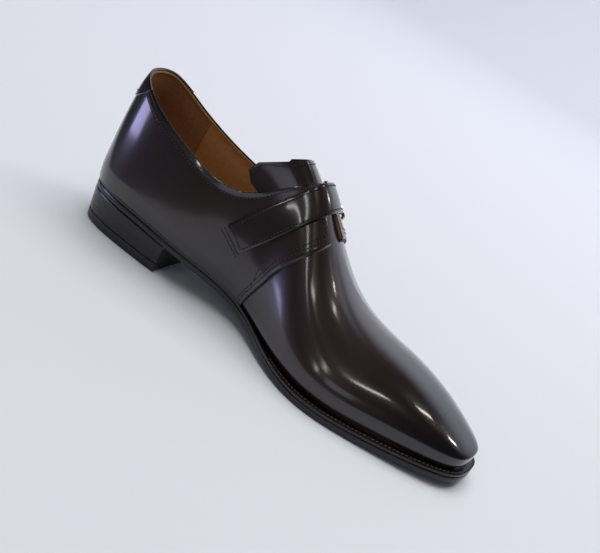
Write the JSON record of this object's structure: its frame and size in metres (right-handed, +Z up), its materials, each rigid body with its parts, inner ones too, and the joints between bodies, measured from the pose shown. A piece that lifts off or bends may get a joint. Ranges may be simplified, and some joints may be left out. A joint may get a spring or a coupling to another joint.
{
  "type": "monk strap shoe",
  "caption": "Left men's leather monk strap shoe with a chisel toe, a strap and rectangular buckle over a tall tongue, a stitched welt and a stacked heel.",
  "frame": {"origin": "on the floor under the middle of the shoe's bounding box", "axes": "+X to the toe, +Y to the outer (lateral) side of the foot, where the buckle is, +Z up"},
  "size_m": [0.302, 0.105, 0.1102],
  "materials": {
    "calf_leather": "dark brown calf, burnished nearly black at toe and edges, polished",
    "lining_leather": "tan lining leather, matt",
    "sole_leather": "black edge dressing, satin",
    "heel_rubber": "black heel rubber, matt",
    "buckle_metal": "pale polished gilt"
  },
  "bodies": {
    "root": {"upper": "calf_leather", "tongue": "calf_leather", "strap": "calf_leather", "buckle_chape": "calf_leather", "buckle_frame": "buckle_metal", "buckle_prong": "buckle_metal", "insole": "lining_leather", "welt": "sole_leather", "outsole": "sole_leather", "heel_stack": "sole_leather", "heel_top_piece": "heel_rubber"}
  },
  "joints": []
}
